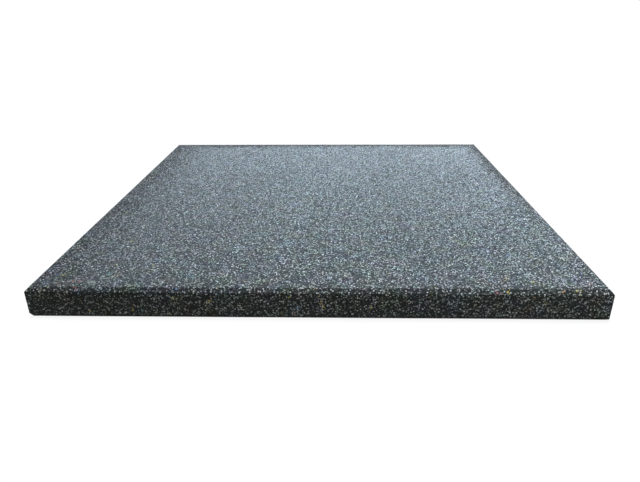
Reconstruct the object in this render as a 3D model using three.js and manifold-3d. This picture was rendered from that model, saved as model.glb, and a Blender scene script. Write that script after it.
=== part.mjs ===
// A compression-moulded rubber gym floor tile: one square slab of pressed rubber crumb, with a bevel
// round its wearing face, a small arris round its underside and one lower corner rubbed away.
// Millimetres, +Z up. The origin is the centre of the underside, and the edge that faces the viewer
// is at -Y. The slab is one solid, because crumb and binder are pressed and cured in one mould.

import * as THREE from "three";
import { ConvexGeometry } from "three/addons/geometries/ConvexGeometry.js";
import { mergeVertices } from "three/addons/utils/BufferGeometryUtils.js";
import Module from "manifold-3d";

// Driving dimensions of the slab.
const tileLength = 500; // along X
const tileWidth = 500; // along Y
const tileThickness = 28;
const faceBevel = 3.5; // both legs of the 45 degree bevel round the wearing face
const lowerArris = 1; // both legs of the arris round the underside

// The rubbed corner, at the front left of the underside: how far the wear reaches along each edge.
const wearAlongLength = 4.5;
const wearAlongWidth = 4.5;
const wearUpward = 4;

// How far the solid that cuts the corner reaches outside the slab, so that no two faces coincide.
const cutterReach = 2;

// Crumb rubber in a dark binder: matt, near black with a cool cast from its pale granules.
const crumbRubber = new THREE.MeshStandardMaterial({
  name: "crumb_rubber",
  color: new THREE.Color(0.095, 0.102, 0.106),
  roughness: 0.72,
  metalness: 0,
});

// The four corners of the slab's outline at one height, drawn in from the full size by an inset.
function outlineAt(height, inset) {
  const halfLength = tileLength / 2 - inset;
  const halfWidth = tileWidth / 2 - inset;
  return [
    new THREE.Vector3(-halfLength, -halfWidth, height),
    new THREE.Vector3(halfLength, -halfWidth, height),
    new THREE.Vector3(halfLength, halfWidth, height),
    new THREE.Vector3(-halfLength, halfWidth, height),
  ];
}

// The whole slab: underside, arris, upright sides, bevel and wearing face.
function slabGeometry() {
  return new ConvexGeometry([
    ...outlineAt(0, lowerArris),
    ...outlineAt(lowerArris, 0),
    ...outlineAt(tileThickness - faceBevel, 0),
    ...outlineAt(tileThickness, faceBevel),
  ]);
}

// The piece that wear has taken off: a four-sided wedge whose slanted face meets each edge of the
// corner where the wear ends. Its other three faces stand outside the slab.
function wornCornerGeometry() {
  const share = (leg) => cutterReach / leg;
  const reachX = wearAlongLength * (1 + share(wearAlongWidth) + share(wearUpward));
  const reachY = wearAlongWidth * (1 + share(wearAlongLength) + share(wearUpward));
  const reachZ = wearUpward * (1 + share(wearAlongLength) + share(wearAlongWidth));
  const wedge = new ConvexGeometry([
    new THREE.Vector3(-cutterReach, -cutterReach, -cutterReach),
    new THREE.Vector3(reachX, -cutterReach, -cutterReach),
    new THREE.Vector3(-cutterReach, reachY, -cutterReach),
    new THREE.Vector3(-cutterReach, -cutterReach, reachZ),
  ]);
  return wedge.translate(-tileLength / 2, -tileWidth / 2, 0);
}

const wasm = await Module();
wasm.setup();

// A closed three.js geometry as a solid that can be cut.
function solidOf(geometry) {
  const bare = geometry.clone();
  bare.deleteAttribute("normal");
  bare.deleteAttribute("uv");
  const merged = mergeVertices(bare);
  return new wasm.Manifold(
    new wasm.Mesh({
      numProp: 3,
      vertProperties: merged.attributes.position.array,
      triVerts: new Uint32Array(merged.index.array),
    }),
  );
}

// A cut solid as a geometry with a flat normal for each face.
function geometryOf(solid) {
  const mesh = solid.getMesh();
  const geometry = new THREE.BufferGeometry()
    .setAttribute("position", new THREE.BufferAttribute(mesh.vertProperties, 3))
    .setIndex(new THREE.BufferAttribute(mesh.triVerts, 1))
    .toNonIndexed();
  geometry.computeVertexNormals();
  return geometry;
}

const slab = solidOf(slabGeometry()).subtract(solidOf(wornCornerGeometry()));

const rubberTile = new THREE.Mesh(geometryOf(slab), crumbRubber);
rubberTile.name = "rubber_tile";

const tile = new THREE.Group();
tile.add(rubberTile);

export default tile;
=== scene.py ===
"""A pressed crumb rubber gym floor tile: the slab, its granules and a plain studio.

Metres, +Z up. The origin is the centre of the underside, and the side that faces the viewer is
at -Y. The slab replaces the frame's one node. The granules in its skin are chips of rubber, each
one a small closed solid, joined into one piece for the wearing face, one for the sides with their
bevels, and one for the underside.
"""

import math
from collections import namedtuple

import bmesh
import bpy
import numpy as np
from bpy.props import FloatProperty, FloatVectorProperty, IntProperty, PointerProperty
from mathutils import Matrix, Vector


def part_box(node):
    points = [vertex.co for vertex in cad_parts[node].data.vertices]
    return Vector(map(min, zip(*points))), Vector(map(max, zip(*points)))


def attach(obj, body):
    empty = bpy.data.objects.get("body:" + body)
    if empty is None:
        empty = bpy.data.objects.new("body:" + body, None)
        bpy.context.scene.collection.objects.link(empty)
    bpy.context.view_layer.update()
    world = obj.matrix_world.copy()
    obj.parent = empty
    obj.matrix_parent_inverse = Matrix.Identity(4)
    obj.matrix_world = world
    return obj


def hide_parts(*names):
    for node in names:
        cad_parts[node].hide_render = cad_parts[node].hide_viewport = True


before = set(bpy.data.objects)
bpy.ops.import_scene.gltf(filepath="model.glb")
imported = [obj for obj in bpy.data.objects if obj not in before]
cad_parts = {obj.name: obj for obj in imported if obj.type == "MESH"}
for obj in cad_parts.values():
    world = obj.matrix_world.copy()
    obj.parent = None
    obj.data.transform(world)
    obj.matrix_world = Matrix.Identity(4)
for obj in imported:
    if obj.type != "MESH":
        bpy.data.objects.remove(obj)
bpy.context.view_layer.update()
tile_low, tile_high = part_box("rubber_tile")

bl_info = {
    "name": "Crumb Rubber Gym Tile",
    "version": (1, 0, 0),
    "blender": (4, 5, 0),
    "location": "View3D > Sidebar > Gym Tile",
    "description": "Models a pressed crumb rubber floor tile, its granules and a plain studio",
    "category": "Add Mesh",
}

MM = 0.001
BODY = "root"

tile_length = tile_high.x - tile_low.x
tile_width = tile_high.y - tile_low.y
tile_thickness = tile_high.z - tile_low.z

# The photograph's frame, and the camera that looks at the tile as the photograph does.
PHOTO_WIDTH_PX = 640
PHOTO_HEIGHT_PX = 482
CAMERA_PLACE = Vector((0.01646, -0.65063, 0.25266))
CAMERA_LOOKS_DOWN = math.radians(24.11)
CAMERA_TURNS_RIGHT = math.radians(-1.71)
CAMERA_LEANS = math.radians(-0.53)
CAMERA_LENS_MM = 30.6
CAMERA_SENSOR_MM = 36.0

# Colours, linear red, green and blue: the studio's white, then the rubber granules.
WHITE = (1.0, 1.0, 1.0)
PALE = (0.36, 0.40, 0.38)
LIGHT_GREY = (0.26, 0.285, 0.27)
MID_GREY = (0.13, 0.145, 0.137)
BLUE = (0.10, 0.17, 0.27)
TEAL = (0.09, 0.25, 0.27)
YELLOW = (0.37, 0.32, 0.10)
ORANGE = (0.32, 0.20, 0.12)
RED = (0.26, 0.11, 0.10)
GREEN = (0.14, 0.22, 0.11)
BUFF = (0.36, 0.32, 0.23)
BRIGHT_MIX = (BLUE, TEAL, YELLOW, ORANGE, RED, GREEN, BUFF)

# What a broken coloured lump does to the granules beside it, as half of what each channel is
# multiplied by.
LUMP_TINTS = (
    (0.30, 0.45, 0.75),
    (0.32, 0.62, 0.62),
    (0.70, 0.64, 0.22),
    (0.68, 0.48, 0.36),
    (0.42, 0.56, 0.34),
    (0.56, 0.50, 0.40),
)

# Of the modelled chips, the share that is bright, then pale, then light grey. The rest is mid grey.
BRIGHT_SHARE = 0.004
PALE_SHARE = 0.25
LIGHT_SHARE = 0.35

# The bright granules that can be told one by one, and the pixel of the photograph each one is at.
BRIGHT_ONES = (
    (BLUE, 56, 275),
    (BLUE, 47, 283),
    (ORANGE, 57, 283),
    (YELLOW, 63, 275),
    (RED, 73, 281),
    (RED, 79, 281),
    (RED, 76, 287),
    (YELLOW, 90, 311),
    (YELLOW, 133, 310),
    (TEAL, 142, 310),
    (YELLOW, 321, 301),
    (YELLOW, 323, 307),
    (BLUE, 297, 308),
    (RED, 295, 314),
    (YELLOW, 371, 308),
    (YELLOW, 508, 292),
    (YELLOW, 577, 290),
    (ORANGE, 563, 292),
    (GREEN, 568, 284),
    (YELLOW, 534, 282),
    (YELLOW, 132, 241),
    (RED, 118, 275),
    (TEAL, 109, 273),
    (TEAL, 178, 282),
    (TEAL, 192, 277),
    (BLUE, 176, 289),
    (BLUE, 158, 259),
    (YELLOW, 173, 298),
    (YELLOW, 209, 301),
    (YELLOW, 506, 278),
    (GREEN, 569, 276),
    (ORANGE, 590, 284),
    (ORANGE, 530, 309),
    (BLUE, 581, 274),
    (BLUE, 508, 254),
    (TEAL, 490, 280),
    (RED, 497, 293),
)

# Each bright granule was part of a lump that broke up: how many crumbs of it lie round it, and
# the range of their sizes as a share of a chip's.
CRUMBS_BESIDE = 7
CRUMB_SHARE = (0.45, 0.9)

# How strongly the matt skin of the rubber mirrors its surroundings.
RUBBER_SPECULAR = 0.09

# The number of sides of each shape of chip, its depth, the size of its top and how uneven it is,
# all for a chip one unit wide.
CHIP_SIDES = (4, 5, 4, 6, 5, 3, 4, 5)
CHIP_DEPTH = 0.5
CHIP_TOP = 0.78
CHIP_UNEVENNESS = 0.11

# How the chips vary: the spread of their sizes and tilts, their stretch, how far each one is sunk
# or lifted before it is pressed flush with the face, and its shade.
SIZE_SPREAD = 0.25
TILT_SPREAD = 0.07
STRETCH = (0.8, 1.25)
CHIP_LIFT = (-0.02 * MM, 0.05 * MM)
CHIP_SHADE = (0.75, 1.2)

# On the underside the chips lie this far inside, so that the slab rests on its own skin.
SUNK = 0.05 * MM

# The middle of a strewn chip lies at least this many times as far from the rubbed corner as the
# wear reaches.
WORN_CLEARANCE = 1.45

# The slab's map for baking: the share of its width that the wearing face takes, and the gaps.
MAP_FACE_SHARE = 0.74
MAP_GAP = 0.006

# The chips' map for baking: the margin at its left and right, and the margin beside the strip of
# each face, as a share of that strip.
MAP_MARGIN = 0.005
STRIP_MARGIN = 0.05

# The slope of the bevel round the wearing face, as its sine and cosine.
BEVEL_SLOPE = math.sqrt(0.5)

# How near two places have to be to count as one, the least share of an edge's length that lies
# along an axis for the edge to run along it, and the least upward part of a level face's normal.
TOUCH = 0.01 * MM
STRAIGHT = 0.999
LEVEL = 0.9

# Faces that meet at less than this angle are shaded as one smooth surface.
SMOOTH_BELOW = math.radians(35)

# The face that wear has left at the rubbed corner is divided this far in from its edge.
WORN_FACE_INSET = 0.6 * MM


def length_setting(name, description, default, least=0.0):
    """A length that the user may change."""
    return FloatProperty(
        name=name,
        description=description,
        default=default,
        min=least,
        subtype="DISTANCE",
        unit="LENGTH",
    )


def colour_setting(name, description, default, most=1.0):
    """A linear colour, or the colour and strength of a light, that the user may change."""
    return FloatVectorProperty(
        name=name,
        description=description,
        default=default,
        size=3,
        min=0.0,
        max=most,
        subtype="COLOR",
    )


class SlabSizes(bpy.types.PropertyGroup):
    """Sizes of the slab that the frame's node doesn't give by itself."""

    face_bevel: length_setting(
        "Face bevel", "Each leg of the bevel round the wearing face", 3.5 * MM
    )
    lower_arris: length_setting(
        "Lower arris", "Each leg of the arris round the underside", 1.0 * MM
    )
    edge_rounding: length_setting(
        "Edge rounding", "How far the crumb has rounded off along every edge", 0.4 * MM
    )
    wear_along: length_setting(
        "Corner wear along", "How far the rubbed lower corner reaches along each side", 4.5 * MM
    )
    wear_upward: length_setting(
        "Corner wear upward", "How far the rubbed lower corner reaches up", 4.0 * MM
    )
    fine_band: length_setting(
        "Fine band", "Width of the finely divided band beside every edge", 8.0 * MM
    )
    fine_pitch: length_setting(
        "Fine pitch", "Mesh spacing beside the edges and up the sides", 1.0 * MM, least=0.1 * MM
    )
    field_pitch: length_setting(
        "Field pitch", "Mesh spacing across the middle of the tile", 3.0 * MM, least=0.1 * MM
    )
    lump_depth: length_setting(
        "Lump depth", "How deep the hollows between lumps of crumb are", 0.22 * MM
    )
    lump_size: length_setting(
        "Lump size", "Size of the lumps of crumb that the mesh shows", 2.6 * MM, least=0.1 * MM
    )


class CrumbMix(bpy.types.PropertyGroup):
    """What the rubber is mixed from."""

    crumb_size: length_setting(
        "Crumb size", "Typical distance between neighbouring granules", 1.5 * MM, least=0.1 * MM
    )
    patch_size: length_setting(
        "Patch size",
        "Typical width of a patch where one tint of crumb is more common",
        16.0 * MM,
        least=1.0 * MM,
    )
    rim_reach: length_setting(
        "Rim reach",
        "Typical width of the duller rim of the wearing face, which differs from edge to edge",
        22.0 * MM,
        least=1.0 * MM,
    )
    lump_spacing: length_setting(
        "Lump spacing",
        "Typical distance between the broken lumps, a few of which are coloured",
        3.6 * MM,
        least=0.5 * MM,
    )
    chip_spacing: length_setting(
        "Chip spacing",
        "Typical distance between the granules that are modelled as chips",
        4.6 * MM,
        least=0.5 * MM,
    )
    chip_size: length_setting(
        "Chip size", "Typical width of a modelled chip", 1.45 * MM, least=0.1 * MM
    )
    bright_size: length_setting(
        "Bright chip size",
        "Width of the bright granules that are placed one by one",
        2.3 * MM,
        least=0.1 * MM,
    )
    crumb_scatter: length_setting(
        "Crumb scatter",
        "How far the crumbs of a coloured lump typically lie from its middle",
        2.2 * MM,
    )
    black_crumb: colour_setting(
        "Black crumb",
        "Colour of the tyre crumb that most of the tile is made of",
        (0.0185, 0.0212, 0.0199),
    )
    pale_crumb: colour_setting(
        "Pale crumb", "Colour of the palest fine granules", (0.385, 0.428, 0.405)
    )
    seed: IntProperty(
        name="Seed",
        description="Chooses where the chips lie",
        default=7,
        min=0,
    )


class StudioLook(bpy.types.PropertyGroup):
    """The floor and the light."""

    floor_colour: colour_setting(
        "Floor colour", "Colour of the plain floor, apart from its glow", (0.063, 0.06, 0.056)
    )
    floor_glow: FloatProperty(
        name="Floor glow",
        description="How much the floor shines by itself, as a lit table does: it keeps shadows pale",
        default=0.87,
        min=0.0,
    )
    overhead_strength: FloatProperty(
        name="Overhead strength",
        description="Strength of the broad light above the tile",
        default=8.2,
        min=0.0,
    )
    light_colour: colour_setting(
        "Light colour", "Colour of the overhead light", (0.93, 1.0, 1.14), most=4.0
    )
    screen_colour: colour_setting(
        "Screen colour",
        "Light of the low bright screen that stands round the back of the studio",
        (7.3, 8.95, 10.7),
        most=20.0,
    )


class Term:
    """A number in a node tree, with Python's own arithmetic."""

    def __init__(self, sheet, socket):
        self.sheet = sheet
        self.socket = socket

    def maths(self, operation, *others):
        """A Math node on this number and the others."""
        terms = dict(enumerate((self, *others)))
        return self.sheet.node("ShaderNodeMath", {"operation": operation}, terms)["Value"]

    def __add__(self, other):
        return self.maths("ADD", other)

    __radd__ = __add__

    def __mul__(self, other):
        return self.maths("MULTIPLY", other)

    __rmul__ = __mul__

    def __sub__(self, other):
        return self.maths("SUBTRACT", other)

    def __rsub__(self, other):
        return (self * -1.0) + other

    def __pow__(self, other):
        return self.maths("POWER", other)

    def __gt__(self, other):
        return self.maths("GREATER_THAN", other)

    def __abs__(self):
        return self.maths("ABSOLUTE")

    def between(self, low, high):
        """0 below low, 1 above high, and a smooth rise from one to the other."""
        settings = {"interpolation_type": "SMOOTHSTEP"}
        sockets = {"Value": self, "From Min": low, "From Max": high}
        return self.sheet.node("ShaderNodeMapRange", settings, sockets)["Result"]


class Sheet:
    """The nodes of one material or of the world."""

    def __init__(self, owner):
        owner.use_nodes = True
        self.tree = owner.node_tree
        self.tree.nodes.clear()

    def node(self, kind, settings=None, sockets=None):
        """Adds a node, with its settings first and then the values or links of its sockets."""
        made = self.tree.nodes.new(kind)
        for name, value in (settings or {}).items():
            if name == "stops":
                self.set_stops(made.color_ramp, value)
            elif name == "interpolation":
                made.color_ramp.interpolation = value
            else:
                setattr(made, name, value)
        shown = [socket for socket in made.inputs if socket.enabled]
        by_name = {socket.name: socket for socket in reversed(shown)}
        for name, value in (sockets or {}).items():
            socket = shown[name] if isinstance(name, int) else by_name[name]
            if isinstance(value, Term):
                self.tree.links.new(value.socket, socket)
            elif socket.type == "RGBA":
                socket.default_value = (*value[:3], 1.0)
            else:
                socket.default_value = value
        return {out.name: Term(self, out) for out in made.outputs if out.enabled}

    def set_stops(self, ramp, stops):
        """Gives a colour ramp its places and colours."""
        while len(ramp.elements) < len(stops):
            ramp.elements.new(1.0)
        for element, (place, colour) in zip(ramp.elements, stops):
            element.position = place
            element.color = (*colour, 1.0)

    def mix(self, share, first, second):
        """The first colour going over to the second."""
        sockets = {"Factor": share, "A": first, "B": second}
        return self.node("ShaderNodeMix", {"data_type": "RGBA"}, sockets)["Result"]

    def vectors(self, operation, *values):
        """Vector Math on links or plain triples."""
        sockets = dict(enumerate(values))
        return self.node("ShaderNodeVectorMath", {"operation": operation}, sockets)["Vector"]

    def scaled(self, vector, factor):
        """A vector or colour times a number."""
        sockets = {"Vector": vector, "Scale": factor}
        return self.node("ShaderNodeVectorMath", {"operation": "SCALE"}, sockets)["Vector"]

    def around_zero(self, vector):
        """A random colour between 0 and 1, moved so that it varies round 0."""
        return self.vectors("SUBTRACT", vector, (0.5, 0.5, 0.5))

    def parts(self, vector):
        """The three numbers of a vector or colour."""
        split = self.node("ShaderNodeSeparateXYZ", None, {"Vector": vector})
        return split["X"], split["Y"], split["Z"]

    def noise(self, place, spacing, detail):
        """Soft noise whose lumps are about a spacing wide."""
        sockets = {"Vector": place, "Scale": 1.0 / spacing, "Detail": detail}
        return self.node("ShaderNodeTexNoise", None, sockets)

    def finish(self, **sockets):
        """The surface, with the sockets of its shader."""
        named = {name.replace("_", " "): value for name, value in sockets.items()}
        named["Specular IOR Level"] = RUBBER_SPECULAR
        skin = self.node("ShaderNodeBsdfPrincipled", None, named)["BSDF"]
        self.node("ShaderNodeOutputMaterial", None, {"Surface": skin})


WornEdge = namedtuple("WornEdge", ("dullness", "width"))

# The worn rim at each edge of the wearing face: how dull it is, from 0 to 1, and its width as a share
# of the rim's reach. The right edge is duller still towards the back. Wear makes the rim rougher. Its
# colour is also darkened and warmed as painted shade, for the sheen that it loses.
BACK_RIM = WornEdge(dullness=0.85, width=1.5)
RIGHT_RIM = WornEdge(dullness=0.35, width=1.2)
LEFT_RIM = WornEdge(dullness=0.62, width=3.0)
FRONT_RIM = WornEdge(dullness=0.35, width=0.8)
RIGHT_RIM_GAIN = 0.5


def worn_and_shaded_rim(mix, x, y):
    """The worn rim of the wearing face, rougher and with painted shade: most at its back edge, less
    at the others, 0 further in.
    """
    towards_back = y.between(-tile_high.y / 2, tile_high.y / 2)
    edges = (
        (tile_high.y - y, BACK_RIM.width, BACK_RIM.dullness),
        (tile_high.x - x, RIGHT_RIM.width, RIGHT_RIM.dullness + RIGHT_RIM_GAIN * towards_back),
        (x - tile_low.x, LEFT_RIM.width, LEFT_RIM.dullness),
        (y - tile_low.y, FRONT_RIM.width, FRONT_RIM.dullness),
    )
    rim = None
    for distance, width, dullness in edges:
        near = (1.0 - distance.between(0.0, width * mix.rim_reach)) * dullness
        rim = near if rim is None else rim.maths("MAXIMUM", near)
    return rim


# The painted shadow at the foot of the sides: the height, and the way in from the side, over which it
# fades.
FOOT_HEIGHT = (0.5 * MM, 3.8 * MM)
FOOT_DEPTH = (1.0 * MM, 1.8 * MM)


def painted_foot_shadow(x, y, z):
    """1 at the foot of each side, where painted shadow darkens the rubber and hides most pale
    granules.
    """
    from_side = (tile_length / 2 - abs(x)).maths("MINIMUM", tile_width / 2 - abs(y))
    low = 1.0 - z.between(*FOOT_HEIGHT)
    outer = 1.0 - from_side.between(*FOOT_DEPTH)
    return low * outer


# The stretches over which a change of colour sets in or fades: at the foot of the bevel, at the top
# of the bevel, over the left half with its painted shade, over the right half with the painted light
# on its sides and bevel, and back from the front edge, which is darker.
ONTO_FACE = (tile_high.z - 4.0 * MM, tile_high.z - 3.0 * MM)
UNDER_FACE = (tile_high.z - 1.5 * MM, tile_high.z - 0.4 * MM)
LEFT_SHADE_FADE = (tile_low.x, 0.0)
RIGHT_LIGHT_FADE = (0.0, tile_high.x)
FRONT_DARKENING_FADE = (tile_low.y, tile_low.y + 55.0 * MM)

# The share of lightness taken away by the painted shade of the left half, the darkening towards the
# front edge, the painted shade of the worn rim and the painted shadow at the foot. Then the share
# that the painted light on the right half of the sides and bevel adds, and how warm the left half and
# the front edge are where the worn rim counts as 1.
LEFT_SHADE = 0.33
FRONT_DARKENING = 0.06
RIM_PAINTED_SHADE = 0.34
FOOT_SHADOW_DARKENING = 0.75
RIGHT_PAINTED_LIGHT = 0.2
LEFT_AND_FRONT_WARMTH = 0.35


def wear_and_painted_shade(mix, x, y, z):
    """The worn rim, the painted shadow at the foot, the warm tint, and what they do to the colour:
    painted shade on the left and the rim, painted light on the right of the sides and bevel, and a
    darker front edge.
    """
    on_face = z.between(*ONTO_FACE)
    # The worn rim: rougher from wear, with painted shade in its colour.
    rim = worn_and_shaded_rim(mix, x, y) * on_face
    # The foot of the sides: painted shadow.
    foot = painted_foot_shadow(x, y, z)
    # The left half: painted shade, darker towards the left edge.
    shaded_left = 1.0 - x.between(*LEFT_SHADE_FADE)
    # Darker towards the front edge of the wearing face.
    darker_front = 1.0 - y.between(*FRONT_DARKENING_FADE)
    left_and_front = shaded_left.maths("MAXIMUM", darker_front) * on_face
    # A warm tint with the painted shade of the rim and the left half, and towards the front edge.
    warmth = rim.maths("MAXIMUM", LEFT_AND_FRONT_WARMTH * left_and_front)
    # The right half of the sides and bevel: painted light, lighter towards the right end.
    lit_right = (1.0 - z.between(*UNDER_FACE)) * x.between(*RIGHT_LIGHT_FADE)
    # Painted shade over the left half, and darker towards the front edge.
    left_and_front_darkening = (1.0 - LEFT_SHADE * shaded_left) * (1.0 - FRONT_DARKENING * darker_front)
    # The painted shade of the worn rim, and the painted shadow at the foot of the sides.
    wear = (1.0 - RIM_PAINTED_SHADE * rim) * (1.0 - FOOT_SHADOW_DARKENING * foot)
    return rim, foot, warmth, left_and_front_darkening * (1.0 + RIGHT_PAINTED_LIGHT * lit_right) * wear


# The fine grit on all the rubber.
GRIT_SPACING = 0.5 * MM
GRIT_DETAIL = 2.0


def fine_grit(sheet, place):
    """Grit from 0 to 1, much finer than a granule."""
    return sheet.noise(place, GRIT_SPACING, GRIT_DETAIL)["Fac"]


def mottled(grit, contrast):
    """A shade round 1 that follows the grit."""
    return grit * contrast + (1.0 - contrast / 2)


# The outlines of the granules wander this far, in waves about this wide.
OUTLINE_WANDER = 0.7 * MM
WANDER_SPACING = 2.0 * MM

# The detail of the soft noise in the wander and in the patches.
SOFT_DETAIL = 1.0


def packed_granules(sheet, place, crumb_size):
    """Packed cells whose outlines wander a little, and the way from each place to a border."""
    wander = sheet.noise(place, WANDER_SPACING, SOFT_DETAIL)["Color"]
    drift = sheet.scaled(sheet.around_zero(wander), OUTLINE_WANDER)
    packing = {"Vector": sheet.vectors("ADD", place, drift), "Scale": 1.0 / crumb_size}
    granule = sheet.node("ShaderNodeTexVoronoi", {"feature": "F1"}, packing)
    border = sheet.node("ShaderNodeTexVoronoi", {"feature": "DISTANCE_TO_EDGE"}, packing)
    return granule, border["Distance"]


# The slight tints of the granules, each at its place between 0 and 1.
GRANULE_TINTS = (
    (0.0, (0.96, 1.0, 1.04)),
    (0.35, (0.99, 1.0, 0.99)),
    (0.6, (0.98, 1.02, 0.98)),
    (0.8, (1.04, 1.0, 0.96)),
    (1.0, (0.99, 0.99, 1.03)),
)

# How much the patches of the mix vary in red, green and blue, round 1.
PATCH_CONTRAST = (0.5, 0.38, 0.68)


def slight_tints(sheet, place, own_tint, patch_size):
    """Every granule has a slight tint, and so has every patch of the mix."""
    granule_tint = sheet.node("ShaderNodeValToRGB", {"stops": GRANULE_TINTS}, {"Fac": own_tint})
    patch = sheet.noise(place, patch_size, SOFT_DETAIL)["Color"]
    least = tuple(1.0 - contrast / 2 for contrast in PATCH_CONTRAST)
    patch_tint = sheet.vectors("MULTIPLY_ADD", patch, PATCH_CONTRAST, least)
    return sheet.vectors("MULTIPLY", granule_tint["Color"], patch_tint)


# The share of the broken lumps that is coloured, and the way from a lump's middle, in lump
# spacings, over which its tint fades.
COLOURED_LUMPS = 0.07
LUMP_FADES = (0.2, 0.5)


def broken_lumps(sheet, place, lump_spacing):
    """Where lumps of coloured rubber have broken up, from 0 to 1, and their tints."""
    packing = {"Vector": place, "Scale": 1.0 / lump_spacing}
    lump = sheet.node("ShaderNodeTexVoronoi", {"feature": "F1"}, packing)
    kind, own_hue, _ = sheet.parts(lump["Color"])
    near = 1.0 - lump["Distance"].between(*LUMP_FADES)
    stops = tuple((order / len(LUMP_TINTS), hue) for order, hue in enumerate(LUMP_TINTS))
    settings = {"interpolation": "CONSTANT", "stops": stops}
    half_tint = sheet.node("ShaderNodeValToRGB", settings, {"Fac": own_hue})["Color"]
    return (kind > 1.0 - COLOURED_LUMPS) * near, sheet.scaled(half_tint, 2.0)


# The relief: the tilt of each granule's top, the depth of the pores with the grit, the share of
# that depth that the pores take, and how strongly it shows.
GRANULE_TILT = 0.12
CRUMB_RELIEF_DEPTH = 0.25 * MM
PORE_RELIEF = 0.6
CRUMB_RELIEF_STRENGTH = 0.25


def crumb_relief(sheet, granule, filled, grit):
    """The lie of the surface: granules that each have their own tilt, pores and grit."""
    surface = sheet.node("ShaderNodeNewGeometry")["Normal"]
    own_tilt = sheet.scaled(sheet.around_zero(granule["Color"]), GRANULE_TILT)
    tilted = sheet.vectors("NORMALIZE", sheet.vectors("ADD", surface, own_tilt))
    relief = {
        "Height": filled * PORE_RELIEF + grit * (1.0 - PORE_RELIEF),
        "Distance": CRUMB_RELIEF_DEPTH,
        "Strength": CRUMB_RELIEF_STRENGTH,
        "Normal": tilted,
    }
    return sheet.node("ShaderNodeBump", None, relief)["Normal"]


# In crumb sizes: the way from a granule's middle over which its own colour fades to black, and the
# way in from its border that the pore takes.
GRANULE_FADES = (0.35, 0.58)
PORE_WIDTH = 0.12

# The paleness of a granule rises with this power of its own number, and the painted shadow at the
# foot of the sides takes this share of it.
PALENESS_POWER = 3.5
FOOT_SHADOW_PALING = 0.8

# The light left in a pore, the contrast of the grit, and the warm tint that a colour is multiplied by
# where the rim and the left half carry painted shade, and towards the front edge.
PORE_LIGHT = 0.4
CRUMB_MOTTLING = 0.6
WARM_TINT = (1.2, 1.0, 0.96)

# The roughness of black crumb, and what paleness takes from it and pores and wear add to it.
BLACK_ROUGHNESS = 0.66
PALE_SMOOTHNESS = 0.5
PORE_ROUGHNESS = 0.3
WORN_ROUGHNESS = 0.4


def pressed_crumb():
    """Pressed crumb: close-packed granules, most of them black, with dark pores between them."""
    mix = bpy.context.scene.crumb_mix
    material = bpy.data.materials.new("pressed_crumb")
    sheet = Sheet(material)
    place = sheet.node("ShaderNodeTexCoord")["Object"]
    rim, foot, warmth, wear_and_shade = wear_and_painted_shade(mix, *sheet.parts(place))
    granule, from_border = packed_granules(sheet, place, mix.crumb_size)
    own_grey, own_tint, _ = sheet.parts(granule["Color"])
    grit = fine_grit(sheet, place)

    # Few granules are pale: the share of paleness rises steeply with the granule's own number. At the
    # foot of the sides the painted shadow takes most of it.
    within = 1.0 - granule["Distance"].between(*GRANULE_FADES)
    paleness = (own_grey ** PALENESS_POWER) * within * (1.0 - FOOT_SHADOW_PALING * foot)
    colour = sheet.mix(paleness, mix.black_crumb, mix.pale_crumb)
    tint = slight_tints(sheet, place, own_tint, mix.patch_size)
    colour = sheet.vectors("MULTIPLY", colour, tint)

    # Here and there a lump of coloured rubber has broken up, and tints the granules beside it.
    coloured, hue = broken_lumps(sheet, place, mix.lump_spacing)
    colour = sheet.mix(coloured, colour, sheet.vectors("MULTIPLY", colour, hue))

    # Binder and shade in the gaps, a fine grit all over, the rim's wear with its painted shade, the
    # painted shadow at the foot, painted shade at the left and painted light at the right, and a warm
    # tint.
    filled = from_border.between(0.0, PORE_WIDTH)
    shade = (filled * (1.0 - PORE_LIGHT) + PORE_LIGHT) * mottled(grit, CRUMB_MOTTLING) * wear_and_shade
    colour = sheet.scaled(colour, shade)
    colour = sheet.mix(warmth, colour, sheet.vectors("MULTIPLY", colour, WARM_TINT))

    own_roughness = BLACK_ROUGHNESS - PALE_SMOOTHNESS * own_grey
    roughness = own_roughness + PORE_ROUGHNESS * (1.0 - filled) + WORN_ROUGHNESS * rim
    normal = crumb_relief(sheet, granule, filled, grit)
    sheet.finish(Base_Color=colour, Roughness=roughness, Normal=normal)
    return material


# A modelled granule: the contrast of its mottling, the depth and strength of the grit on it, its
# least roughness and what the grit adds.
GRANULE_MOTTLING = 0.7
GRANULE_RELIEF_DEPTH = 0.1 * MM
GRANULE_RELIEF_STRENGTH = 0.2
GRANULE_ROUGHNESS = 0.32
GRIT_ROUGHNESS = 0.15


def granule_rubber():
    """A modelled granule: its own colour, mottled, with a fine grit."""
    mix = bpy.context.scene.crumb_mix
    material = bpy.data.materials.new("granule_rubber")
    sheet = Sheet(material)
    place = sheet.node("ShaderNodeTexCoord")["Object"]
    own = sheet.node("ShaderNodeAttribute", {"attribute_name": "granule_colour"})["Color"]
    grit = fine_grit(sheet, place)
    # The chips take the slab's rim wear, painted shade, painted shadow and painted light.
    *_, wear_and_shade = wear_and_painted_shade(mix, *sheet.parts(place))
    colour = sheet.scaled(own, mottled(grit, GRANULE_MOTTLING) * wear_and_shade)
    relief = {
        "Height": grit,
        "Distance": GRANULE_RELIEF_DEPTH,
        "Strength": GRANULE_RELIEF_STRENGTH,
    }
    normal = sheet.node("ShaderNodeBump", None, relief)["Normal"]
    roughness = GRANULE_ROUGHNESS + GRIT_ROUGHNESS * grit
    sheet.finish(Base_Color=colour, Roughness=roughness, Normal=normal)
    return material


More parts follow.
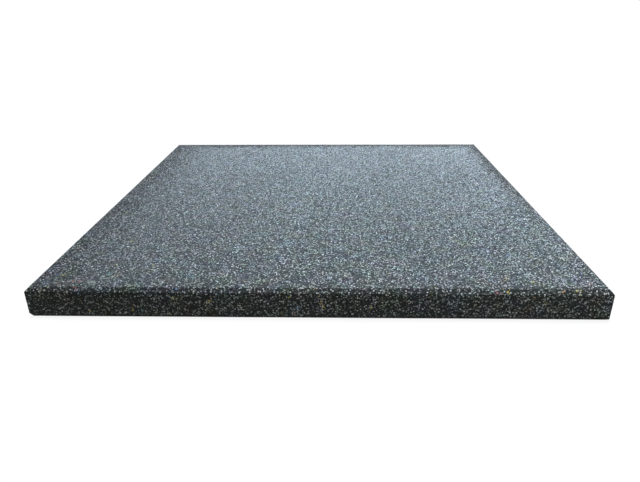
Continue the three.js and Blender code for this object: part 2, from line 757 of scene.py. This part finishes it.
def select_edges(piece, wanted):
    """In edit mode, selects the edges that wanted accepts, given their two ends, and no others."""
    bpy.ops.mesh.select_mode(type="EDGE")
    bpy.ops.mesh.select_all(action="DESELECT")
    form = bmesh.from_edit_mesh(piece.data)
    for edge in form.edges:
        first, second = (vert.co for vert in edge.verts)
        if wanted(first, second):
            edge.select = True
    form.select_flush(True)
    bmesh.update_edit_mesh(piece.data)


def start_piece(name):
    """Puts the newly added primitive's place and size into its mesh and enters edit mode."""
    piece = bpy.context.object
    piece.name = name
    piece.data.name = name
    bpy.ops.object.transform_apply(location=True, rotation=True, scale=True)
    bpy.ops.object.mode_set(mode="EDIT")
    return piece


def along(axis, first, second):
    """Whether an edge runs along an axis."""
    step = second - first
    return abs(step[axis]) > STRAIGHT * step.length > 0.0


def divide_along(piece, axis, half_span, sizes):
    """Cuts the edges along one axis: finely in the band at each end, and more coarsely between."""
    border = half_span - sizes.fine_band
    already_fine = 1.5 * sizes.fine_pitch
    cuts_in_band = max(1, round(sizes.fine_band / sizes.fine_pitch) - 1)
    cuts_in_field = max(1, round(2 * border / sizes.field_pitch) - 1)

    def in_field(first, second):
        low, high = sorted((first[axis], second[axis]))
        spans_field = abs(low + border) < TOUCH and abs(high - border) < TOUCH
        return along(axis, first, second) and spans_field

    def in_band(first, second):
        reach = min(abs(first[axis]), abs(second[axis]))
        long_enough = (second - first).length > already_fine
        return along(axis, first, second) and long_enough and reach > border - TOUCH

    select_edges(piece, in_band)
    bpy.ops.mesh.subdivide(number_cuts=cuts_in_band)
    select_edges(piece, in_field)
    bpy.ops.mesh.subdivide(number_cuts=cuts_in_field)


def corner_places(mesh):
    """The place and the face's normal at each corner of each face of a mesh."""
    verts = np.empty(len(mesh.vertices) * 3, np.float32)
    mesh.vertices.foreach_get("co", verts)
    vertex_of = np.empty(len(mesh.loops), np.int32)
    mesh.loops.foreach_get("vertex_index", vertex_of)
    totals = np.empty(len(mesh.polygons), np.int32)
    mesh.polygons.foreach_get("loop_total", totals)
    normals = np.empty(len(mesh.polygons) * 3, np.float32)
    mesh.polygons.foreach_get("normal", normals)
    return verts.reshape(-1, 3)[vertex_of], np.repeat(normals.reshape(-1, 3), totals, axis=0)


def lay_out_slab(piece, sizes):
    """The slab's map for baking: a large wearing face, strips for the sides, a small underside."""
    places, normals = corner_places(piece.data)
    x, y, z = places.T
    across, deep, up = normals.T
    u = np.zeros(len(x))
    v = np.zeros(len(x))

    upward = up > LEVEL
    u[upward] = MAP_GAP + MAP_FACE_SHARE * (x[upward] / tile_length + 0.5)
    v[upward] = MAP_GAP + MAP_FACE_SHARE * (y[upward] / tile_width + 0.5)
    beside_face = MAP_FACE_SHARE + 2 * MAP_GAP
    underside_share = 1.0 - beside_face - MAP_GAP
    downward = up < -LEVEL
    u[downward] = beside_face + underside_share * (x[downward] / tile_length + 0.5)
    v[downward] = MAP_GAP + underside_share * (y[downward] / tile_width + 0.5)

    # Round the sides, the way in is added to the height, so that bevel and arris have a width too.
    sideways = ~upward & ~downward
    inset = np.minimum(tile_length / 2 - np.abs(x), tile_width / 2 - np.abs(y))
    rise = z + np.where(z > tile_thickness / 2, inset, -inset) + sizes.lower_arris
    tall = tile_thickness + sizes.face_bevel + sizes.lower_arris
    lengthwise = np.abs(deep) > np.abs(across)
    sides = (
        (sideways & lengthwise & (deep < 0), x / tile_length),
        (sideways & ~lengthwise & (across > 0), y / tile_width),
        (sideways & lengthwise & (deep >= 0), -x / tile_length),
        (sideways & ~lengthwise & (across <= 0), -y / tile_width),
    )
    strip = (1.0 - beside_face - len(sides) * MAP_GAP) / len(sides)
    for order, (mine, position) in enumerate(sides):
        u[mine] = MAP_GAP + MAP_FACE_SHARE * (position[mine] + 0.5)
        v[mine] = beside_face + order * (strip + MAP_GAP) + strip * rise[mine] / tall
    layer = piece.data.uv_layers.new(name="OFBake")
    layer.data.foreach_set("uv", np.stack([u, v], 1).astype(np.float32).ravel())


class OBJECT_OT_gym_tile_slab(bpy.types.Operator):
    """Models the slab: the box, its bevel and arris, the rubbed corner and the lumps of crumb"""

    bl_idname = "object.gym_tile_slab"
    bl_label = "Slab"
    bl_options = {"REGISTER", "UNDO"}

    def execute(self, context):
        sizes = context.scene.slab_sizes
        middle = (tile_low + tile_high) / 2
        bpy.ops.object.select_all(action="DESELECT")
        bpy.ops.mesh.primitive_cube_add(
            size=1.0, location=middle, scale=(tile_length, tile_width, tile_thickness)
        )
        slab = start_piece("crumb_slab")

        self.cut_edges(slab, sizes)
        self.divide(slab, sizes)
        self.rub_corner(sizes)
        bpy.ops.object.mode_set(mode="OBJECT")
        lay_out_slab(slab, sizes)
        self.press_lumps(slab, sizes)

        slab.data.materials.append(pressed_crumb())
        bpy.ops.object.shade_smooth_by_angle(angle=SMOOTH_BELOW)
        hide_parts("rubber_tile")
        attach(slab, BODY)
        return {"FINISHED"}

    def cut_edges(self, slab, sizes):
        """The bevel round the face and the arris round the underside, each softly rounded."""

        def at_height(height):
            return lambda a, b: abs(a.z - height) < TOUCH and abs(b.z - height) < TOUCH

        select_edges(slab, at_height(tile_high.z))
        bpy.ops.mesh.bevel(offset=sizes.face_bevel, segments=1, affect="EDGES")
        select_edges(slab, at_height(tile_low.z))
        bpy.ops.mesh.bevel(offset=sizes.lower_arris, segments=1, affect="EDGES")
        bpy.ops.mesh.select_all(action="SELECT")
        bpy.ops.mesh.bevel(offset=sizes.edge_rounding, segments=2, affect="EDGES")

    def divide(self, slab, sizes):
        """A mesh that is fine beside the edges and up the sides, and coarser across the middle."""
        spans = ((0, tile_length / 2), (1, tile_width / 2))
        for axis, half_span in spans:
            for end in (-1, 1):
                point, normal = Vector((0, 0, 0)), Vector((0, 0, 0))
                point[axis] = end * (half_span - sizes.fine_band)
                normal[axis] = 1.0
                bpy.ops.mesh.select_all(action="SELECT")
                bpy.ops.mesh.bisect(plane_co=point, plane_no=normal)
        for axis, half_span in spans:
            divide_along(slab, axis, half_span, sizes)

        shortest_upright = 3 * sizes.fine_pitch

        def upright(first, second):
            return along(2, first, second) and (second - first).length > shortest_upright

        def up_the_bevel(first, second):
            rise = abs(second.z - first.z)
            return not along(2, first, second) and rise > sizes.face_bevel / 2

        side_height = tile_thickness - sizes.face_bevel - sizes.lower_arris
        select_edges(slab, upright)
        bpy.ops.mesh.subdivide(number_cuts=round(side_height / sizes.fine_pitch) - 1)
        select_edges(slab, up_the_bevel)
        bpy.ops.mesh.subdivide(number_cuts=round(sizes.face_bevel / sizes.fine_pitch))

    def rub_corner(self, sizes):
        """The worn lower corner at the front left, cut where the frame's node has it."""
        along_share = 1.0 / sizes.wear_along
        up_share = 1.0 / sizes.wear_upward
        outward = Vector((-along_share, -along_share, -up_share)).normalized()
        on_plane = Vector((tile_low.x + sizes.wear_along, tile_low.y, tile_low.z))
        bpy.ops.mesh.select_all(action="SELECT")
        bpy.ops.mesh.bisect(plane_co=on_plane, plane_no=outward, use_fill=True, clear_outer=True)
        bpy.ops.mesh.inset(thickness=WORN_FACE_INSET)
        bpy.ops.mesh.poke()

    def press_lumps(self, slab, sizes):
        """Hollows between the lumps of crumb, always into the slab."""
        lumps = bpy.data.textures.new("crumb_lumps", "VORONOI")
        lumps.noise_scale = sizes.lump_size
        lumps.distance_metric = "DISTANCE"
        press = slab.modifiers.new("lumps", "DISPLACE")
        press.texture = lumps
        press.texture_coords = "LOCAL"
        press.mid_level = 0.0
        press.strength = -sizes.lump_depth
        bpy.ops.object.modifier_apply(modifier=press.name)


def model_chip_shapes():
    """Shapes of a granule, one unit wide: wedge-sided flakes whose uneven tops are about at z = 0."""
    shapes = []
    for order, sides in enumerate(CHIP_SIDES):
        bpy.ops.object.select_all(action="DESELECT")
        bpy.ops.mesh.primitive_cylinder_add(
            vertices=sides,
            radius=0.5,
            depth=CHIP_DEPTH,
            location=(0, 0, -CHIP_DEPTH / 2),
            rotation=(0, 0, order),
        )
        chip = start_piece("chip")
        bpy.ops.mesh.select_all(action="DESELECT")
        form = bmesh.from_edit_mesh(chip.data)
        for vert in form.verts:
            vert.select = vert.co.z > -TOUCH
        form.select_flush(True)
        bmesh.update_edit_mesh(chip.data)
        bpy.ops.transform.resize(value=(CHIP_TOP, CHIP_TOP, 1.0))
        bpy.ops.mesh.select_all(action="SELECT")
        bpy.ops.transform.vertex_random(offset=CHIP_UNEVENNESS, seed=order)
        bpy.ops.mesh.quads_convert_to_tris()
        bpy.ops.mesh.normals_make_consistent(inside=False)
        bpy.ops.object.mode_set(mode="OBJECT")
        points = np.array([vert.co[:] for vert in chip.data.vertices])
        faces = np.array([face.vertices[:] for face in chip.data.polygons])
        shapes.append((points, faces))
        bpy.data.objects.remove(chip)
    return shapes


class Facing:
    """One flat face of the tile: a corner, two directions in the face, and its outward normal."""

    def __init__(self, name, corner, across, upward, width, height):
        self.name = name
        self.corner = np.array(corner)
        self.across = np.array(across, float)
        self.upward = np.array(upward, float)
        self.outward = np.cross(self.across, self.upward)
        self.width = width
        self.height = height


def tile_facings(sizes):
    """The wearing face, the four bevels, the four sides and the underside, without the arris."""
    half_x, half_y = tile_length / 2, tile_width / 2
    top, bevel, arris = tile_high.z, sizes.face_bevel, sizes.lower_arris
    face = Facing(
        "face",
        (-half_x + bevel, -half_y + bevel, top),
        (1, 0, 0),
        (0, 1, 0),
        tile_length - 2 * bevel,
        tile_width - 2 * bevel,
    )
    underside = Facing(
        "underside",
        (-half_x + arris, half_y - arris, tile_low.z),
        (1, 0, 0),
        (0, -1, 0),
        tile_length - 2 * arris,
        tile_width - 2 * arris,
    )
    sides = []
    rounds = (
        ("front", (1, 0), (-half_x, -half_y), tile_length),
        ("right", (0, 1), (half_x, -half_y), tile_width),
        ("back", (-1, 0), (half_x, half_y), tile_length),
        ("left", (0, -1), (-half_x, half_y), tile_width),
    )
    for name, (run_x, run_y), (start_x, start_y), length in rounds:
        bevel_start = (start_x + run_x * bevel, start_y + run_y * bevel, top - bevel)
        up_the_bevel = (-run_y * BEVEL_SLOPE, run_x * BEVEL_SLOPE, BEVEL_SLOPE)
        run = (run_x, run_y, 0)
        bevel_width = bevel / BEVEL_SLOPE
        bevel_length = length - 2 * bevel
        sides.append(
            Facing(name + "_bevel", bevel_start, run, up_the_bevel, bevel_length, bevel_width)
        )
        side_start = (start_x, start_y, arris)
        side_height = top - bevel - arris
        sides.append(Facing(name + "_side", side_start, run, (0, 0, 1), length, side_height))
    return {"wearing_face": [face], "sides": sides, "underside": [underside]}


class Chips:
    """Granules gathered for one mesh."""

    def __init__(self, shapes, seed):
        self.shapes = shapes
        self.chance = np.random.default_rng(seed)
        self.points = []
        self.faces = []
        self.colours = []
        self.maps = []
        self.count = 0

    def add(self, facing, x, y, size, colour, map_place):
        """Sets one chip into a face, nearly flush, turned and tilted at random."""
        chance = self.chance
        points, faces = self.shapes[chance.integers(len(self.shapes))]
        turn = chance.uniform(0, 2 * math.pi)
        stretch = chance.uniform(*STRETCH)
        tilt_x, tilt_y = chance.normal(0, TILT_SPREAD, 2)
        raised = chance.uniform(*CHIP_LIFT)
        if facing.name == "underside":
            raised = -SUNK
        flat_x = points[:, 0] * size * stretch
        flat_y = points[:, 1] * size / stretch
        in_x = flat_x * math.cos(turn) - flat_y * math.sin(turn)
        in_y = flat_x * math.sin(turn) + flat_y * math.cos(turn)

        # A chip near the edge of its face is moved in until all of it lies inside.
        x = min(max(x, -in_x.min()), facing.width - in_x.max())
        y = min(max(y, -in_y.min()), facing.height - in_y.max())

        # What the tilt would lift out of the face is pressed flush with it.
        lift = points[:, 2] * size + in_x * tilt_x + in_y * tilt_y + raised
        lift = np.minimum(lift, 0.0)
        placed = (
            facing.corner
            + np.outer(x + in_x, facing.across)
            + np.outer(y + in_y, facing.upward)
            + np.outer(lift, facing.outward)
        )
        self.points.append(placed)
        self.faces.append(faces + self.count)
        self.count += len(points)
        shade = chance.uniform(*CHIP_SHADE)
        self.colours.append(np.tile((*(np.array(colour) * shade), 1.0), (len(points), 1)))
        foot, tall = map_place
        u = MAP_MARGIN + (1.0 - 2 * MAP_MARGIN) * (x + in_x) / facing.width
        v = foot + tall * (y + in_y) / facing.height
        self.maps.append(np.stack([u, v], 1))

    def joined(self, name):
        """All the chips as one object, with their colours and their map for baking."""
        mesh = bpy.data.meshes.new(name)
        mesh.from_pydata(np.concatenate(self.points), [], np.concatenate(self.faces).tolist())
        colour = mesh.attributes.new("granule_colour", "FLOAT_COLOR", "POINT")
        colour.data.foreach_set("color", np.concatenate(self.colours).astype(np.float32).ravel())
        vertex_of = np.empty(len(mesh.loops), np.int32)
        mesh.loops.foreach_get("vertex_index", vertex_of)
        layer = mesh.uv_layers.new(name="OFBake")
        places = np.concatenate(self.maps)[vertex_of].astype(np.float32)
        layer.data.foreach_set("uv", places.ravel())
        piece = bpy.data.objects.new(name, mesh)
        bpy.context.scene.collection.objects.link(piece)
        return piece


def worn_away(facing, x, y, sizes):
    """Whether a place in a face lies in or beside the rubbed corner."""
    place = facing.corner + x * facing.across + y * facing.upward
    from_corner = place - np.array(tile_low)
    spans = np.array((sizes.wear_along, sizes.wear_along, sizes.wear_upward))
    return (from_corner / spans).sum() < WORN_CLEARANCE


def camera_axes():
    """The camera's right, up and forward directions."""
    down, turn, lean = CAMERA_LOOKS_DOWN, CAMERA_TURNS_RIGHT, CAMERA_LEANS
    forward = Vector(
        (math.sin(turn) * math.cos(down), math.cos(turn) * math.cos(down), -math.sin(down))
    )
    level = Vector((math.cos(turn), -math.sin(turn), 0.0))
    upright = level.cross(forward)
    right = math.cos(lean) * level + math.sin(lean) * upright
    up = math.cos(lean) * upright - math.sin(lean) * level
    return right, up, forward


def seen_at(pixel_x, pixel_y, facings):
    """The face of the tile that a pixel of the photograph shows, and the place in that face."""
    right, up, forward = camera_axes()
    pixels_per_unit = CAMERA_LENS_MM / CAMERA_SENSOR_MM * PHOTO_WIDTH_PX
    ray = np.array(
        forward
        + right * ((pixel_x - PHOTO_WIDTH_PX / 2) / pixels_per_unit)
        + up * ((PHOTO_HEIGHT_PX / 2 - pixel_y) / pixels_per_unit)
    )
    for facing in facings:
        towards = ray @ facing.outward
        if towards >= 0:
            continue
        reach = (facing.corner - np.array(CAMERA_PLACE)) @ facing.outward / towards
        place = np.array(CAMERA_PLACE) + reach * ray - facing.corner
        x, y = place @ facing.across, place @ facing.upward
        if 0 <= x <= facing.width and 0 <= y <= facing.height:
            return facing, x, y
    return None


class OBJECT_OT_gym_tile_granules(bpy.types.Operator):
    """Models the pale, grey and bright granules that show in each face, as chips set in the skin"""

    bl_idname = "object.gym_tile_granules"
    bl_label = "Granules"
    bl_options = {"REGISTER", "UNDO"}

    def execute(self, context):
        sizes = context.scene.slab_sizes
        mix = context.scene.crumb_mix
        shapes = model_chip_shapes()
        rubber = granule_rubber()
        for order, (group, members) in enumerate(tile_facings(sizes).items()):
            chips = Chips(shapes, mix.seed + order)
            share = 1.0 / len(members)
            for row, facing in enumerate(members):
                map_place = ((row + STRIP_MARGIN) * share, (1.0 - 2 * STRIP_MARGIN) * share)
                self.strew(chips, facing, map_place, sizes, mix)
                self.place_bright_ones(chips, facing, map_place, members, mix)
            if not chips.count:
                raise RuntimeError(f"no granules were made for the {group}")
            piece = chips.joined(group + "_granules")
            piece.data.materials.append(rubber)
            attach(piece, BODY)
        return {"FINISHED"}

    def strew(self, chips, facing, map_place, sizes, mix):
        """One chip in each cell of a loose grid, somewhere inside the cell."""
        chance = chips.chance
        columns = max(1, round(facing.width / mix.chip_spacing))
        rows = max(1, round(facing.height / mix.chip_spacing))
        cell_x, cell_y = facing.width / columns, facing.height / rows
        for row in range(rows):
            for column in range(columns):
                kind = chance.random()
                size = mix.chip_size * math.exp(chance.normal(0, SIZE_SPREAD))
                if kind < BRIGHT_SHARE:
                    colour = BRIGHT_MIX[chance.integers(len(BRIGHT_MIX))]
                elif kind < BRIGHT_SHARE + PALE_SHARE:
                    colour = PALE
                elif kind < BRIGHT_SHARE + PALE_SHARE + LIGHT_SHARE:
                    colour = LIGHT_GREY
                else:
                    colour = MID_GREY
                x = (column + chance.random()) * cell_x
                y = (row + chance.random()) * cell_y
                if not worn_away(facing, x, y, sizes):
                    chips.add(facing, x, y, size, colour, map_place)

    def place_bright_ones(self, chips, facing, map_place, members, mix):
        """The bright granules that the photograph shows one by one, and the crumbs round them."""
        for colour, pixel_x, pixel_y in BRIGHT_ONES:
            seen = seen_at(pixel_x, pixel_y, members)
            if not seen or seen[0] is not facing:
                continue
            chips.add(facing, seen[1], seen[2], mix.bright_size, colour, map_place)
            for _ in range(CRUMBS_BESIDE):
                x, y = np.array(seen[1:]) + chips.chance.normal(0, mix.crumb_scatter, 2)
                size = mix.chip_size * chips.chance.uniform(*CRUMB_SHARE)
                chips.add(facing, x, y, size, colour, map_place)


# The screen, in the directions of the sky: how high it fades, where it begins beside the tile, and
# how much stronger it is at the right.
SCREEN_TOP = (0.05, 0.35)
SCREEN_SIDES = (-0.3, 0.7)
SCREEN_RIGHT_GAIN = 0.12

# The side of the floor, and how far the camera sees.
FLOOR_SIZE = 400.0
SIGHT_LIMIT = 500.0

# The overhead light leans in from a little behind the tile, and is this wide in the sky.
OVERHEAD_LEAN = math.radians(-8)
OVERHEAD_WIDTH = math.radians(30)


def soft_surroundings(look):
    """A low bright screen round the back of the tile. The camera sees a plain white backdrop."""
    world = bpy.data.worlds.new("studio")
    bpy.context.scene.world = world
    sheet = Sheet(world)
    x, y, z = sheet.parts(sheet.node("ShaderNodeTexCoord")["Generated"])
    low = 1.0 - z.between(*SCREEN_TOP)
    screen = y.between(*SCREEN_SIDES) * low * (1.0 + SCREEN_RIGHT_GAIN * x)
    sky = sheet.scaled(look.screen_colour, screen)
    seen = sheet.node("ShaderNodeLightPath")["Is Camera Ray"]
    sky = sheet.mix(seen, sky, WHITE)
    light = sheet.node("ShaderNodeBackground", None, {"Color": sky})["Background"]
    sheet.node("ShaderNodeOutputWorld", None, {"Surface": light})


def plain_floor(look):
    """A pale matt floor, far wider than the camera sees."""
    bpy.ops.mesh.primitive_plane_add(size=FLOOR_SIZE, location=(0, 0, tile_low.z))
    floor = bpy.context.object
    floor.name = "floor"
    material = bpy.data.materials.new("floor")
    sheet = Sheet(material)
    matt = sheet.node(
        "ShaderNodeBsdfPrincipled",
        None,
        {
            "Base Color": look.floor_colour,
            "Roughness": 1.0,
            "Specular IOR Level": 0.0,
            "Emission Color": WHITE,
            "Emission Strength": look.floor_glow,
        },
    )["BSDF"]
    sheet.node("ShaderNodeOutputMaterial", None, {"Surface": matt})
    floor.data.materials.append(material)


class OBJECT_OT_gym_tile_studio(bpy.types.Operator):
    """Sets out the floor, the lights and the camera"""

    bl_idname = "object.gym_tile_studio"
    bl_label = "Studio"
    bl_options = {"REGISTER", "UNDO"}

    def execute(self, context):
        look = context.scene.studio_look
        bpy.ops.object.select_all(action="DESELECT")
        context.scene.view_settings.view_transform = "Standard"
        soft_surroundings(look)
        plain_floor(look)
        self.hang_light(context, look)
        self.stand_camera(context)
        return {"FINISHED"}

    def hang_light(self, context, look):
        """A broad light above, a little behind the tile."""
        bpy.ops.object.light_add(type="SUN", rotation=(OVERHEAD_LEAN, 0, 0))
        overhead = context.object
        overhead.name = "overhead"
        overhead.data.angle = OVERHEAD_WIDTH
        overhead.data.energy = look.overhead_strength
        overhead.data.color = look.light_colour

    def stand_camera(self, context):
        """The camera, where the photograph was taken from."""
        right, up, forward = camera_axes()
        turned = Matrix((right, up, -forward)).transposed().to_4x4()
        bpy.ops.object.camera_add()
        camera = context.object
        camera.matrix_world = Matrix.Translation(CAMERA_PLACE) @ turned
        camera.data.sensor_width = CAMERA_SENSOR_MM
        camera.data.lens = CAMERA_LENS_MM
        camera.data.clip_end = SIGHT_LIMIT
        context.scene.camera = camera


class VIEW3D_PT_gym_tile(bpy.types.Panel):
    """The tile's steps, in order, with their settings"""

    bl_label = "Gym Tile"
    bl_idname = "VIEW3D_PT_gym_tile"
    bl_space_type = "VIEW_3D"
    bl_region_type = "UI"
    bl_category = "Gym Tile"

    def draw(self, context):
        layout = self.layout
        for operator in OPERATORS:
            layout.operator(operator.bl_idname)
        for name in SETTINGS:
            group = getattr(context.scene, name)
            box = layout.box()
            for prop in group.bl_rna.properties:
                if prop.identifier not in {"rna_type", "name"}:
                    box.prop(group, prop.identifier)


SETTINGS = {"slab_sizes": SlabSizes, "crumb_mix": CrumbMix, "studio_look": StudioLook}
OPERATORS = (OBJECT_OT_gym_tile_slab, OBJECT_OT_gym_tile_granules, OBJECT_OT_gym_tile_studio)
CLASSES = (*SETTINGS.values(), *OPERATORS, VIEW3D_PT_gym_tile)


def register():
    """Registers the classes, and puts the settings on the scene."""
    for cls in CLASSES:
        bpy.utils.register_class(cls)
    for name, group in SETTINGS.items():
        setattr(bpy.types.Scene, name, PointerProperty(type=group))


def unregister():
    """Takes the settings and the classes away again."""
    for name in SETTINGS:
        delattr(bpy.types.Scene, name)
    for cls in reversed(CLASSES):
        bpy.utils.unregister_class(cls)


def main():
    register()
    bpy.ops.object.gym_tile_slab()
    bpy.ops.object.gym_tile_granules()
    bpy.ops.object.gym_tile_studio()


if __name__ == "__main__":
    main()
